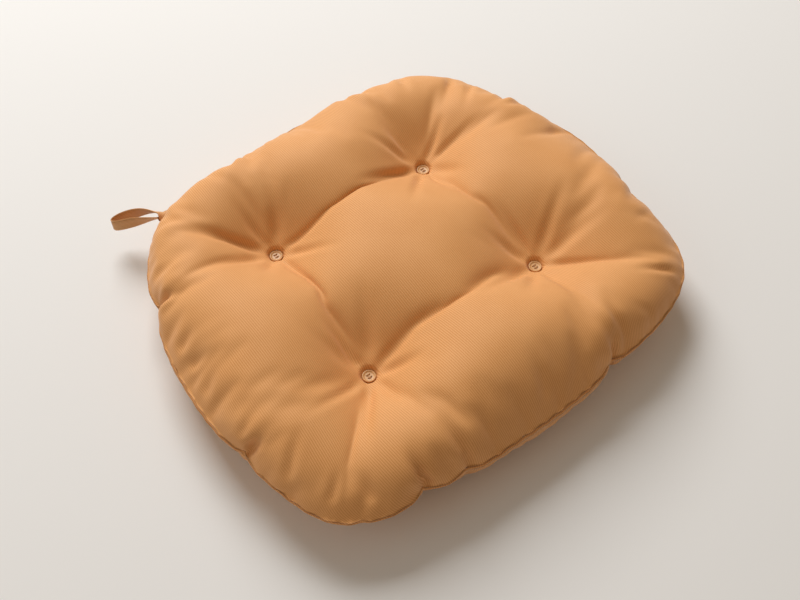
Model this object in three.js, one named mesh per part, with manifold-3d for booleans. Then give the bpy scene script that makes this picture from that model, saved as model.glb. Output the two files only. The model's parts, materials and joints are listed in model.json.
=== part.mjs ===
// Tufted chair seat pad: a sewn fabric case of two panels round a fibre filling, drawn in at four tufts by
// lacings between pairs of buttons, with a tie loop sewn into the seam at each rear corner.
// Millimetres, +Z up, +Y towards the chair back. The origin is the middle of the underside, where it rests.

import * as THREE from 'three';
import { mergeVertices } from 'three/addons/utils/BufferGeometryUtils.js';
import Module from 'manifold-3d';

// ---- Driving dimensions -------------------------------------------------------------------------------

// Case: a rounded trapezium, wider in front, with bowed sides
const FRONT_WIDTH = 372;        // across the front corners, sides taken straight
const REAR_WIDTH = 312;         // across the rear corners, sides taken straight
const DEPTH = 360;              // front corners to rear corners
const SIDE_BOW = 44;            // how far each side swells past its corners
const FRONT_BOW = 19;
const REAR_BOW = 2;
const CORNER_POWER = 5.5;       // superellipse exponent of the outline: higher is squarer
const PAD_HEIGHT = 78;          // crown above the surface it rests on
const SEAM_HEIGHT = 40;
const REST_PRESS = 6;           // how much of the underside's swell is pressed flat by its own weight
const EDGE_POWER = 8;           // higher keeps the panels level nearer to the seam
const COVER_THICKNESS = 0.8;
const SEAM_ALLOWANCE = 10;

// Tufts
const REAR_TUFT = { x: 82, y: 77 };
const FRONT_TUFT = { x: 90, y: -70 };
const TOP_PIT_FLOOR = 35.5;     // height of the fabric under a top button
const BOTTOM_PIT_FLOOR = 14;    // height of the fabric above a bottom button
const PIT_FLOOR_RADIUS = 7;
const TOP_PIT_SPREAD = 36;      // how much wider the top pit is at crown height than at its floor
const BOTTOM_PIT_SPREAD = 22;
const PIT_POWER = 2.2;          // higher keeps the pit narrow for longer before it opens out
const PIT_OVERRUN = 1.15;       // the pit's cutter runs past the face by this share of its depth
const TUFT_BORE_RADIUS = 3.1;   // hole in the covers and the filling round the four strands

// Buttons: four holes and a raised rim
const BUTTON_RADIUS = 5.7;
const BUTTON_THICKNESS = 2.6;
const BUTTON_DISH = 0.8;
const BUTTON_RIM = 1.4;
const HOLE_SPACING = 2.8;
const HOLE_RADIUS = 0.95;

// Threads
const TUFT_THREAD_RADIUS = 0.4;
const KNOT_RADIUS = 1.1;
const SEAM_THREAD_RADIUS = 0.4;
const SEAM_THREAD_INSET = 2.5;  // stitching line, in from the edge of the case

// Tie loops: a folded strip with both ends stacked in the seam, each lying in its own way
const LOOP_REACH = 52;
const LOOP_ROOT_SHARE = 0.3;    // how open the loop already is at its root, as a share of the full opening
const LOOP_TWIST_END = 0.55;    // share of the reach by which the twist is complete
const STRAP_WIDTH = 14;
const STRAP_THICKNESS = 1.2;
const STRAP_END_THICKNESS = 0.5; // where the seam presses it
const STRAP_PRESSED_LENGTH = 0.12; // share of each leg that tapers to that
const ROOT_GAP = 0.6;           // running clearance between a loop's pressed end and the case
// lean: degrees clockwise, seen from above, from square to the seam; droop: drop at the far end;
// twist: degrees that the strip is turned on edge; opening: widest distance between its two legs' middles
const LOOPS = [
  { name: 'tie_loop_left', side: -1, lean: -22, droop: 17, twist: 90, opening: 13 },
  { name: 'tie_loop_right', side: 1, lean: -38, droop: 34, twist: 12, opening: 3 },
];
const LOOP_ROOT_X = 136;        // across from the pad's centreline to the middle of a loop's root

const CLEARANCE = 0.3;          // between two pieces that touch

// Facets
const OUTLINE_SIDES = 44;
const FORM_ROWS = 10;
const PIT_SIDES = 12;
const BORE_SIDES = 8;
const BUTTON_SIDES = 12;
const HOLE_SIDES = 6;
const THREAD_SIDES = 6;
const ARCH_STEPS = 4;
const STRAP_STEPS = 26;

const wasm = await Module();
wasm.setup();

// ---- Solids -------------------------------------------------------------------------------------------

function solidFrom(geometry) {
  const bare = geometry.clone();
  bare.deleteAttribute('normal');
  bare.deleteAttribute('uv');
  const merged = mergeVertices(bare, 1e-4);
  return new wasm.Manifold(new wasm.Mesh({
    numProp: 3,
    vertProperties: merged.attributes.position.array,
    triVerts: new Uint32Array(merged.index.array),
  }));
}

function geometryFrom(solid) {
  const mesh = solid.getMesh();
  const geometry = new THREE.BufferGeometry();
  geometry.setAttribute('position', new THREE.BufferAttribute(new Float32Array(mesh.vertProperties), 3));
  geometry.setIndex(new THREE.BufferAttribute(new Uint32Array(mesh.triVerts), 1));
  geometry.computeVertexNormals();
  return geometry;
}

// A block far larger than the pad, between two heights, for cutting at a level
function slab(low, high) {
  const span = 2 * (FRONT_WIDTH + DEPTH);
  const box = new THREE.BoxGeometry(span, span, high - low);
  box.translate(0, 0, (low + high) / 2);
  return solidFrom(box);
}

// ---- Outline of the case ------------------------------------------------------------------------------

const OUTLINE_SHIFT = (FRONT_BOW - REAR_BOW) / 2;   // puts the middle of the depth on the origin

class CaseOutline extends THREE.Curve {
  // t runs once round from the middle of the rear edge, so that left and right match
  getPoint(t, target = new THREE.Vector2()) {
    const angle = Math.PI / 2 - 2 * Math.PI * t;
    const power = 2 / CORNER_POWER;
    const across = Math.sign(Math.cos(angle)) * Math.abs(Math.cos(angle)) ** power;
    const along = Math.sign(Math.sin(angle)) * Math.abs(Math.sin(angle)) ** power;
    const halfWidth = (FRONT_WIDTH + REAR_WIDTH) / 4 + (REAR_WIDTH - FRONT_WIDTH) / 4 * along;
    const endBow = along > 0 ? REAR_BOW : FRONT_BOW;
    return target.set(
      across * (halfWidth + SIDE_BOW * (1 - along ** 2)),
      along * (DEPTH / 2 + endBow * (1 - across ** 2)) + OUTLINE_SHIFT,
    );
  }
}

const outlineCurve = new CaseOutline();
outlineCurve.arcLengthDivisions = 4000;
const outlinePoints = outlineCurve.getSpacedPoints(OUTLINE_SIDES).slice(0, OUTLINE_SIDES);

// Unit vector pointing out of the case at outline point i
function outwardAt(i) {
  const before = outlinePoints[(i + OUTLINE_SIDES - 1) % OUTLINE_SIDES];
  const after = outlinePoints[(i + 1) % OUTLINE_SIDES];
  const run = after.clone().sub(before).normalize();
  return new THREE.Vector2(-run.y, run.x);
}

function insetPoint(i, inset) {
  const k = ((i % OUTLINE_SIDES) + OUTLINE_SIDES) % OUTLINE_SIDES;
  return outlinePoints[k].clone().addScaledVector(outwardAt(k), -inset);
}

// A flat plate with the outline, inset, between two heights
function outlinePlate(inset, low, high) {
  const points = outlinePoints.map((_, i) => insetPoint(i, inset));
  const shape = new THREE.Shape(points);
  const plate = new THREE.ExtrudeGeometry(shape, { depth: high - low, bevelEnabled: false });
  plate.translate(0, 0, low);
  return solidFrom(plate);
}

// A round cord laid along the outline at one height: a torus bent to the outline
function outlineRing(inset, radius, height) {
  const torus = new THREE.TorusGeometry(1, radius, THREAD_SIDES, OUTLINE_SIDES);
  const position = torus.attributes.position;
  for (let i = 0; i < position.count; i += 1) {
    const step = i % (OUTLINE_SIDES + 1);
    const turn = 2 * Math.PI * Math.floor(i / (OUTLINE_SIDES + 1)) / THREAD_SIDES;
    const place = insetPoint(OUTLINE_SIDES - step, inset - radius * Math.cos(turn));
    position.setXYZ(i, place.x, place.y, height + radius * Math.sin(turn));
  }
  return solidFrom(torus);
}

// ---- Swollen form of the pad --------------------------------------------------------------------------

// A sphere drawn out to the outline and to the two heights, all of it inset by one distance. The underside
// is pressed flat.
function padForm(inset) {
  const sphere = new THREE.SphereGeometry(1, OUTLINE_SIDES, FORM_ROWS);
  const position = sphere.attributes.position;
  for (let i = 0; i < position.count; i += 1) {
    const step = i % (OUTLINE_SIDES + 1);
    const rise = position.getY(i);
    const reach = Math.max(0, 1 - rise ** 2) ** (1 / EDGE_POWER);
    const edge = insetPoint(OUTLINE_SIDES - step, inset);
    const swell = rise > 0 ? PAD_HEIGHT - SEAM_HEIGHT : SEAM_HEIGHT + REST_PRESS;
    position.setXYZ(i, edge.x * reach, edge.y * reach, SEAM_HEIGHT + rise * (swell - inset));
  }
  return solidFrom(sphere).intersect(slab(inset, PAD_HEIGHT + 1));
}

const tufts = [
  { name: 'rear_left', x: -REAR_TUFT.x, y: REAR_TUFT.y },
  { name: 'rear_right', x: REAR_TUFT.x, y: REAR_TUFT.y },
  { name: 'front_left', x: -FRONT_TUFT.x, y: FRONT_TUFT.y },
  { name: 'front_right', x: FRONT_TUFT.x, y: FRONT_TUFT.y },
];

// One tuft's pit, grown by a margin: narrow at its floor and opening out like a trumpet to the face
function pit(tuft, floor, face, spread, margin) {
  const depth = Math.abs(face - floor);
  const up = Math.sign(face - floor);
  const profile = [new THREE.Vector2(0, floor - up * margin)];
  for (const share of [0, 0.4, 0.75, PIT_OVERRUN]) {
    const radius = PIT_FLOOR_RADIUS + spread * share ** PIT_POWER + margin;
    const height = share === 0 ? floor - up * margin : floor + up * share * depth;
    profile.push(new THREE.Vector2(radius, height));
  }
  profile.push(new THREE.Vector2(0, floor + up * PIT_OVERRUN * depth));
  if (up < 0) profile.reverse();
  const lathe = new THREE.LatheGeometry(profile, PIT_SIDES);
  lathe.rotateX(Math.PI / 2);
  lathe.translate(tuft.x, tuft.y, 0);
  return solidFrom(lathe);
}

const topPit = (tuft, margin) => pit(tuft, TOP_PIT_FLOOR, PAD_HEIGHT, TOP_PIT_SPREAD, margin);
const bottomPit = (tuft, margin) => pit(tuft, BOTTOM_PIT_FLOOR, 0, BOTTOM_PIT_SPREAD, margin);

function tuftBore(tuft) {
  const bore = new THREE.CylinderGeometry(TUFT_BORE_RADIUS, TUFT_BORE_RADIUS, PAD_HEIGHT, BORE_SIDES);
  bore.rotateX(Math.PI / 2);
  bore.translate(tuft.x, tuft.y, PAD_HEIGHT / 2);
  return solidFrom(bore);
}

const allOf = (solids) => solids.reduce((whole, solid) => whole.add(solid));

const outside = padForm(0);
const inside = padForm(COVER_THICKNESS);
const seamGroove = outlineRing(SEAM_THREAD_INSET, SEAM_THREAD_RADIUS + CLEARANCE, SEAM_HEIGHT);
const bores = allOf(tufts.map(tuftBore));

// One panel: the skin on its side of the seam, a lining down each pit, and the allowance turned in
function coverPanel(pitOf, low, high, allowanceLow) {
  const skin = outside.subtract(inside).intersect(slab(low, high));
  const allowance = outlinePlate(COVER_THICKNESS / 2, allowanceLow, allowanceLow + COVER_THICKNESS)
    .subtract(outlinePlate(SEAM_ALLOWANCE, allowanceLow - 1, allowanceLow + COVER_THICKNESS + 1));
  const linings = allOf(tufts.map((tuft) => pitOf(tuft, COVER_THICKNESS))).intersect(outside);
  return allOf([skin, allowance, linings])
    .subtract(allOf(tufts.map((tuft) => pitOf(tuft, 0))))
    .subtract(seamGroove)
    .subtract(bores);
}

const topEdge = SEAM_HEIGHT + CLEARANCE / 2;
const bottomEdge = SEAM_HEIGHT - CLEARANCE / 2;
const topCover = coverPanel(topPit, topEdge, PAD_HEIGHT + 1, topEdge);
const bottomCover = coverPanel(bottomPit, -1, bottomEdge, bottomEdge - COVER_THICKNESS);

function fillingCore() {
  const margin = COVER_THICKNESS + CLEARANCE;
  const allowanceRoom = COVER_THICKNESS + 1.5 * CLEARANCE;
  const edgeSlot = outlinePlate(-1, SEAM_HEIGHT - allowanceRoom, SEAM_HEIGHT + allowanceRoom)
    .subtract(outlinePlate(SEAM_ALLOWANCE + CLEARANCE, SEAM_HEIGHT - PAD_HEIGHT, SEAM_HEIGHT + PAD_HEIGHT));
  const pits = tufts.flatMap((tuft) => [topPit(tuft, margin), bottomPit(tuft, margin)]);
  return padForm(margin).subtract(edgeSlot).subtract(allOf(pits)).subtract(bores);
}

// ---- Buttons and lacings ------------------------------------------------------------------------------

const holePlaces = [[-1, -1], [1, -1], [1, 1], [-1, 1]]
  .map(([x, y]) => new THREE.Vector2(x, y).multiplyScalar(HOLE_SPACING / 2));

// A four-hole button lying on z = 0 with its dish upwards
function buttonSolid() {
  const dish = BUTTON_THICKNESS - BUTTON_DISH;
  const profile = [
    [0, 0], [BUTTON_RADIUS - 1.2, 0], [BUTTON_RADIUS, 1], [BUTTON_RADIUS, BUTTON_THICKNESS - 0.6],
    [BUTTON_RADIUS - BUTTON_RIM / 2, BUTTON_THICKNESS], [BUTTON_RADIUS - BUTTON_RIM, dish + 0.2],
    [BUTTON_RADIUS - BUTTON_RIM - 0.5, dish], [0, dish],
  ].map(([radius, height]) => new THREE.Vector2(radius, height));
  const disc = new THREE.LatheGeometry(profile, BUTTON_SIDES);
  disc.rotateX(Math.PI / 2);
  const holes = holePlaces.map((place) => {
    const hole = new THREE.CylinderGeometry(HOLE_RADIUS, HOLE_RADIUS, 3 * BUTTON_THICKNESS, HOLE_SIDES);
    hole.rotateX(Math.PI / 2);
    hole.translate(place.x, place.y, 0);
    return solidFrom(hole);
  });
  return solidFrom(disc).subtract(allOf(holes));
}

class StitchArch extends THREE.Curve {
  constructor(from, to, height, up) {
    super();
    Object.assign(this, { from, to, height, up });
  }

  getPoint(t, target = new THREE.Vector3()) {
    const middle = this.from.clone().add(this.to).multiplyScalar(0.5);
    const arm = this.from.clone().sub(middle);
    const turn = Math.PI * t;
    return target.set(
      middle.x + arm.x * Math.cos(turn),
      middle.y + arm.y * Math.cos(turn),
      this.height + this.up * arm.length() * Math.sin(turn),
    );
  }
}

function threadSection(radius) {
  const section = new THREE.Shape();
  for (let i = 0; i <= THREAD_SIDES; i += 1) {
    const turn = 2 * Math.PI * i / THREAD_SIDES;
    const method = i === 0 ? 'moveTo' : 'lineTo';
    section[method](radius * Math.cos(turn), radius * Math.sin(turn));
  }
  return section;
}

const topButtonBase = TOP_PIT_FLOOR + CLEARANCE;
const bottomButtonBase = BOTTOM_PIT_FLOOR - CLEARANCE;

// Four strands between the two buttons of a tuft, arched over the dish of each, knotted underneath
function lacing() {
  const high = topButtonBase + BUTTON_THICKNESS - BUTTON_DISH;
  const low = bottomButtonBase - BUTTON_THICKNESS + BUTTON_DISH;
  const strands = holePlaces.map((place) => {
    const radius = TUFT_THREAD_RADIUS;
    const strand = new THREE.CylinderGeometry(radius, radius, high - low, THREAD_SIDES);
    strand.rotateX(Math.PI / 2);
    strand.translate(place.x, place.y, (high + low) / 2);
    return solidFrom(strand);
  });
  const section = threadSection(TUFT_THREAD_RADIUS);
  const spans = [[0, 1, high, 1], [2, 3, high, 1], [1, 2, low, -1], [3, 0, low, -1]];
  const arches = spans.map(([a, b, z, up]) => {
    // each arch starts a little inside its strands, so that they join
    const path = new StitchArch(holePlaces[a], holePlaces[b], z - up * TUFT_THREAD_RADIUS / 2, up);
    return solidFrom(new THREE.ExtrudeGeometry(section, { steps: ARCH_STEPS, extrudePath: path }));
  });
  const knot = new THREE.IcosahedronGeometry(KNOT_RADIUS);
  knot.translate(-HOLE_SPACING / 2, 0, low - HOLE_SPACING / 2);
  return allOf([...strands, ...arches, solidFrom(knot)]);
}

// ---- Tie loops ----------------------------------------------------------------------------------------

// The facet of the rear edge that holds a loop's root: its middle, its outward normal and its run
function loopRoot(side) {
  const facets = outlinePoints.map((point, i) => {
    const next = outlinePoints[(i + 1) % OUTLINE_SIDES];
    const run = next.clone().sub(point).normalize();
    const middle = point.clone().add(next).multiplyScalar(0.5);
    return { middle, out: new THREE.Vector2(-run.y, run.x), run };
  });
  const miss = (facet) => Math.abs(facet.middle.x - side * LOOP_ROOT_X);
  return facets.filter((facet) => facet.middle.y > 0).sort((a, b) => miss(a) - miss(b))[0];
}

// The strip's middle line: out along one leg, round the far end and back along the other. t = 0 and t = 1
// are the two ends, one above the other in the seam.
class LoopLine extends THREE.Curve {
  constructor({ side, lean, droop, twist, opening }) {
    super();
    const root = loopRoot(side);
    this.out = new THREE.Vector3(root.out.x, root.out.y, 0);
    this.start = new THREE.Vector3(root.middle.x, root.middle.y, SEAM_HEIGHT);
    this.start.addScaledVector(this.out, ROOT_GAP);
    this.run = new THREE.Vector3(root.run.x, root.run.y, 0);
    this.lean = THREE.MathUtils.degToRad(lean);
    this.drop = droop;
    this.twist = THREE.MathUtils.degToRad(twist);
    this.opening = opening;
    this.level = Math.sqrt(LOOP_REACH ** 2 - droop ** 2);
  }

  // share of the reach at t, and how far the strip is turned on edge there
  reachAt(t) {
    return (1 - Math.cos(2 * Math.PI * t)) / 2;
  }

  twistAt(t) {
    return this.twist * THREE.MathUtils.smoothstep(this.reachAt(t), 0, LOOP_TWIST_END);
  }

  // level direction across the loop: along the seam at the root, turned with the lean further out
  acrossAt(t) {
    const turn = this.lean * THREE.MathUtils.smoothstep(this.reachAt(t), 0, LOOP_TWIST_END);
    return this.run.clone().applyAxisAngle(new THREE.Vector3(0, 0, -1), turn);
  }

  widthAt(t) {
    const twist = this.twistAt(t);
    return this.acrossAt(t).multiplyScalar(Math.cos(twist)).add(new THREE.Vector3(0, 0, -Math.sin(twist)));
  }

  getPoint(t, target = new THREE.Vector3()) {
    const reach = this.reachAt(t);
    const twist = this.twistAt(t);
    const opening = this.opening * (LOOP_ROOT_SHARE + (1 - LOOP_ROOT_SHARE) * reach);
    const apart = -opening / 2 * Math.sin(2 * Math.PI * t)
      - (STRAP_END_THICKNESS / 2 + CLEARANCE) * Math.cos(Math.PI * t);
    return target.copy(this.start)
      .addScaledVector(this.out, this.level * reach * Math.cos(this.lean))
      .addScaledVector(this.run, this.level * reach ** 1.5 * Math.sin(this.lean))
      .addScaledVector(this.acrossAt(t), apart * Math.sin(twist))
      .add(new THREE.Vector3(0, 0, apart * Math.cos(twist) - this.drop * reach ** 1.5));
  }
}

function tieLoop(loop) {
  const line = new LoopLine(loop);
  const strip = new THREE.BoxGeometry(1, 1, STRAP_WIDTH, STRAP_STEPS, 1, 1);
  const position = strip.attributes.position;
  for (let i = 0; i < position.count; i += 1) {
    const t = position.getX(i) + 0.5;
    const width = line.widthAt(t);
    const face = new THREE.Vector3().crossVectors(width, line.getTangent(t)).normalize();
    const pressed = 1 - THREE.MathUtils.smoothstep(Math.min(t, 1 - t), 0, STRAP_PRESSED_LENGTH);
    const thickness = THREE.MathUtils.lerp(STRAP_THICKNESS, STRAP_END_THICKNESS, pressed);
    const place = line.getPoint(t)
      .addScaledVector(width, position.getZ(i))
      .addScaledVector(face, position.getY(i) * thickness);
    position.setXYZ(i, place.x, place.y, place.z);
  }
  return solidFrom(strip);
}

// ---- The object ---------------------------------------------------------------------------------------

const finishes = {
  cover: { color: 0xd9a467, roughness: 0.95, metalness: 0 },
  filling: { color: 0xf2f0ea, roughness: 1, metalness: 0 },
  strap: { color: 0xb0743c, roughness: 0.95, metalness: 0 },
  button: { color: 0xc98f55, roughness: 0.45, metalness: 0 },
  thread: { color: 0xc48a50, roughness: 0.8, metalness: 0 },
};

const seatPad = new THREE.Group();

function addPiece(name, solid, finish, x = 0, y = 0, z = 0) {
  const mesh = new THREE.Mesh(geometryFrom(solid), new THREE.MeshStandardMaterial(finishes[finish]));
  mesh.name = name;
  mesh.position.set(x, y, z);
  seatPad.add(mesh);
  return mesh;
}

addPiece('top_cover', topCover, 'cover');
addPiece('bottom_cover', bottomCover, 'cover');
addPiece('fibre_filling', fillingCore(), 'filling');
addPiece('seam_thread', outlineRing(SEAM_THREAD_INSET, SEAM_THREAD_RADIUS, SEAM_HEIGHT), 'thread');

for (const { name, x, y } of tufts) {
  addPiece(`button_top_${name}`, buttonSolid(), 'button', x, y, topButtonBase);
  const under = addPiece(`button_bottom_${name}`, buttonSolid(), 'button', x, y, bottomButtonBase);
  under.rotation.x = Math.PI;
  addPiece(`tuft_thread_${name}`, lacing(), 'thread', x, y);
}

for (const loop of LOOPS) addPiece(loop.name, tieLoop(loop), 'strap');

export default seatPad;
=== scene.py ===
import json
import math

import bmesh
import bpy
import numpy as np
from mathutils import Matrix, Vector
from mathutils.geometry import delaunay_2d_cdt


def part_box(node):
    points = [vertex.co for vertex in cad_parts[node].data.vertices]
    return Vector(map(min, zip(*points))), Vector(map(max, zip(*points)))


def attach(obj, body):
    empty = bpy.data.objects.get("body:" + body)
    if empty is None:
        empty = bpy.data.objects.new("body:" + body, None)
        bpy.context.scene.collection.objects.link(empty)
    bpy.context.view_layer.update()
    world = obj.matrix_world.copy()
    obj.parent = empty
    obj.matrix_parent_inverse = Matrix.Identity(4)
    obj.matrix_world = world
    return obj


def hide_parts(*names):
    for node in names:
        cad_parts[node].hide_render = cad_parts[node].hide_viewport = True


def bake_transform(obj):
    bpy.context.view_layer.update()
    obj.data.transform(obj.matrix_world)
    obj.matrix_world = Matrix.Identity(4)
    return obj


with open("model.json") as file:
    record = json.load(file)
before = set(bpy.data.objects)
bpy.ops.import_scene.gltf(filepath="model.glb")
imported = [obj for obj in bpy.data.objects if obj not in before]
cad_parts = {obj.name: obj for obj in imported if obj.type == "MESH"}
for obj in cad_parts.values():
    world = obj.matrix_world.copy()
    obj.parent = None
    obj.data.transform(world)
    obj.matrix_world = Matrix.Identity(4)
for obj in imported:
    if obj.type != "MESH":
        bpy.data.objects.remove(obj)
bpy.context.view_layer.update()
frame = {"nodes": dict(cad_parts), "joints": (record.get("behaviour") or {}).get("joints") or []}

bl_info = {
    "name": "Tufted seat pad",
    "version": (1, 0, 0),
    "blender": (4, 5, 0),
    "location": "3D View > Sidebar > Seat pad",
    "description": "Sews, stuffs and tufts a chair seat pad round its packed frame",
    "category": "Object",
}

MM = 0.001
PLY_LOBE = 0.16                 # how far a thread's plies stand out, as a share of its radius
THREAD_LAY = 3 * MM             # length of thread in which its plies turn round once

# ---- Places that the frame gives ----------------------------------------------------------------------

TUFTS = ("rear_left", "rear_right", "front_left", "front_right")
LOOP_SIDES = ("left", "right")
CLEARANCE = 0.3 * MM            # the frame's gap between two pieces that touch
SEAM_THREAD_INSET = 2.1 * MM    # outer side of the frame's seam thread, in from the edge of the case


def middle_of(node):
    low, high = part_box(node)
    return (low + high) / 2


SEAM_HEIGHT = middle_of("seam_thread").z
TUFT_PLACES = np.array([middle_of(f"button_top_{name}")[:2] for name in TUFTS])
TOP_PIT_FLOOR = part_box("button_top_rear_left")[0].z - CLEARANCE
BOTTOM_PIT_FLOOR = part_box("button_bottom_rear_left")[1].z + CLEARANCE

# ---- How the stuffed seam wanders ---------------------------------------------------------------------
# Places are shares of the way round the seam, clockwise from above, from the middle of the rear edge.

# Where the stuffing fills the case out past the even outline, or fails to: place, distance, length of seam
SWELLS = (
    (0.008, 3.0 * MM, 22 * MM),
    (0.135, 9.0 * MM, 60 * MM),
    (0.235, 9.0 * MM, 48 * MM),
    (0.358, 12.0 * MM, 52 * MM),
    (0.630, 13.0 * MM, 46 * MM),
    (0.945, -10.0 * MM, 50 * MM),
)
# Where the seam's own thread has drawn it in: place, distance, length of seam
GATHERS = (
    (0.048, 7.0 * MM, 14 * MM),
    (0.182, 4.0 * MM, 12 * MM),
    (0.290, 2.0 * MM, 14 * MM),
    (0.446, 8.0 * MM, 13 * MM),
    (0.560, 5.0 * MM, 9 * MM),
    (0.587, 9.0 * MM, 10 * MM),
    (0.624, 2.5 * MM, 7 * MM),
    (0.702, 6.0 * MM, 13 * MM),
    (0.818, 9.0 * MM, 13 * MM),
    (0.953, 6.0 * MM, 14 * MM),
)
SEAM_PUCKERS = 36               # small creases that run in from the seam
TUFT_PUCKERS = 8                # long creases that run out from each tuft
# Each small crease's length, depth and width fall between these, in millimetres
SEAM_PUCKER_SIZES = ((30, 70), (0.8, 2.9), (4.5, 8))
TUFT_PUCKER_SIZES = ((45, 95), (1.4, 3.6), (5, 9))
SEAM_PUCKER_START = 13 * MM     # how far in from the seam its creases start, so that its edge stays smooth
BUTTON_HOLD = 5.9 * MM          # radius of the cloth under a button that stays flat
DISC_SKIRT = 9.0 * MM           # radius of the ring of cloth that is first to rise from a button
COLLAR_HEIGHT = 4.0 * MM        # how far the cloth swells up round a button
COLLAR_RISE = 3 * MM            # how far out from the button's hold it takes to rise
COLLAR_SPREAD = 14 * MM         # how far out the swelling dies away
TUCK_REACH = 50 * MM            # how far in from the seam the lower edge is pressed in under the pad
TUCK_DEPTH = 2 * MM             # how deep it is pressed in
GATHER_BUNCHING = 0.5           # share of the cloth's width that is taken up at the middle of a gather
EDGE_RISE = 22 * MM             # about how far in from its edge a flat panel comes to its own level
LOOP_DRAW = 14 * MM             # length of seam that a loop's root draws to itself
WADDING_GAP = 4 * MM            # how far the filling stands in from the cloth


# ---- Small tools --------------------------------------------------------------------------------------

def hex_colour(code):
    """Linear RGBA of an sRGB hex code."""
    channels = [int(code[i:i + 2], 16) / 255 for i in (1, 3, 5)]
    return [c / 12.92 if c <= 0.04045 else ((c + 0.055) / 1.055) ** 2.4 for c in channels] + [1.0]


def add_node(tree, kind, settings=(), values=(), links=()):
    """Adds a shader node, with its settings, its inputs' values and what its inputs are joined to."""
    made = tree.nodes.new(kind)
    for name, value in dict(settings).items():
        setattr(made, name, value)
    for name, value in dict(values).items():
        made.inputs[name].default_value = value
    for name, source in dict(links).items():
        tree.links.new(source, made.inputs[name])
    return made


def smoothstep(x):
    x = np.clip(x, 0, 1)
    return x * x * (3 - 2 * x)


def unit(vectors):
    return vectors / np.maximum(np.linalg.norm(vectors, axis=-1, keepdims=True), 1e-12)


def distances_along(line):
    """How far along an open line each of its points is."""
    return np.concatenate([[0], np.cumsum(np.linalg.norm(np.diff(line, axis=0), axis=1))])


def at_lengths(at, along, values):
    """What a line's values come to at those lengths, given how far along it each of them is."""
    return np.stack([np.interp(at, along, column) for column in values.T], 1)


def gap_to_nearest(points, places):
    """How far each point is from the nearest of the places."""
    return np.min([np.linalg.norm(points - place, axis=1) for place in places], axis=0)


def piece_from(name, points, faces):
    """A new object with that mesh, shaded smooth."""
    mesh = bpy.data.meshes.new(name)
    mesh.from_pydata([tuple(map(float, p)) for p in points], [], [tuple(map(int, f)) for f in faces])
    mesh.update()
    mesh.shade_smooth()
    made = bpy.data.objects.new(name, mesh)
    bpy.context.scene.collection.objects.link(made)
    return made


def corner_points(mesh):
    """For each corner of each face, the number of its point."""
    numbers = np.zeros(len(mesh.loops), int)
    mesh.loops.foreach_get("vertex_index", numbers)
    return numbers


def mark_cut(piece, flat):
    """Notes where each point lay on the flat cloth, as the UV map that the weave follows."""
    layer = piece.data.uv_layers.new(name="cut")
    layer.data.foreach_set("uv", flat[corner_points(piece.data)].ravel())


def finish_piece(piece, body, slot, material, *nodes):
    """Gives a piece its material, its body and the frame's nodes that it stands for."""
    piece.data.materials.clear()
    piece.data.materials.append(material)
    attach(piece, body)
    if nodes:
        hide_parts(*nodes)


def skin(rows, sides, closed=False):
    """Faces over rows of points, each row a ring of that many sides. An open skin has both ends capped."""
    faces = []
    for row in range(rows if closed else rows - 1):
        here, there = row * sides, (row + 1) % rows * sides
        for k in range(sides):
            after = (k + 1) % sides
            faces.append((here + k, here + after, there + after, there + k))
    if not closed:
        faces.append(tuple(range(sides))[::-1])
        faces.append(tuple(range((rows - 1) * sides, rows * sides)))
    return faces


def tube(path, radius, sides, closed=False, plies=0, lay=0.0):
    """Points and faces of a thread along a path. Plies give it lobes that turn round once in each lay."""
    path = np.asarray(path, float)
    ahead, behind = np.roll(path, -1, 0), np.roll(path, 1, 0)
    if not closed:
        ahead[-1], behind[0] = path[-1], path[0]
    tangent = unit(ahead - behind)
    along = distances_along(path)
    # any way will do that the thread doesn't start out in
    start = np.cross(tangent[0], (0.3, 0.2, 0.93))
    across = [start / np.linalg.norm(start)]
    for direction in tangent[1:]:
        carried = across[-1] - direction * (across[-1] @ direction)
        across.append(carried / np.linalg.norm(carried))
    across = np.array(across)
    third = np.cross(tangent, across)
    turn = 2 * np.pi * np.arange(sides) / sides
    lobes = 1 + PLY_LOBE * np.cos(plies * (turn[None] - (2 * np.pi * along[:, None] / lay if lay else 0)))
    reach = radius * (lobes if plies else np.ones((len(path), sides)))
    points = (path[:, None] + across[:, None] * (reach * np.cos(turn))[..., None]
              + third[:, None] * (reach * np.sin(turn))[..., None]).reshape(-1, 3)
    return points, skin(len(path), sides, closed)


def joined(parts):
    """Points and faces of several parts as one mesh."""
    points, faces, first = [], [], 0
    for part_points, part_faces in parts:
        points.append(part_points)
        faces.extend([tuple(i + first for i in face) for face in part_faces])
        first += len(part_points)
    return np.concatenate(points), faces


# ---- Seam and cut -------------------------------------------------------------------------------------

def even_seam(count):
    """Points of the frame's even outline, evenly spaced, with the outward direction at each."""
    vertices = np.array([v.co for v in frame["nodes"]["seam_thread"].data.vertices])
    level = vertices[np.abs(vertices[:, 2] - SEAM_HEIGHT) < 0.01 * MM][:, :2]
    centre = (level.min(0) + level.max(0)) / 2
    # the thread's points stand in a group at each corner of the outline. 0.01 keeps one due north whole
    bearing = (np.arctan2(*(level - centre).T) + 0.01) % (2 * np.pi)
    level = level[np.argsort(bearing)]
    breaks = np.flatnonzero(np.diff(np.sort(bearing)) > 0.03) + 1
    corners = []
    for group in np.split(level, breaks):
        corners.append(group[np.linalg.norm(group - centre, axis=1).argmax()])
    # a smooth closed curve through the corners
    spectrum = np.fft.fft(np.array(corners) @ (1, 1j))
    half = (len(corners) - 1) // 2
    fine = np.zeros(8 * count, complex)
    fine[:half + 1] = spectrum[:half + 1]
    fine[-half:] = spectrum[-half:]
    line = np.fft.ifft(fine) * len(fine) / len(corners)
    points = np.stack([line.real, line.imag], 1)
    return evenly(offset(points, SEAM_THREAD_INSET), count)


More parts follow.
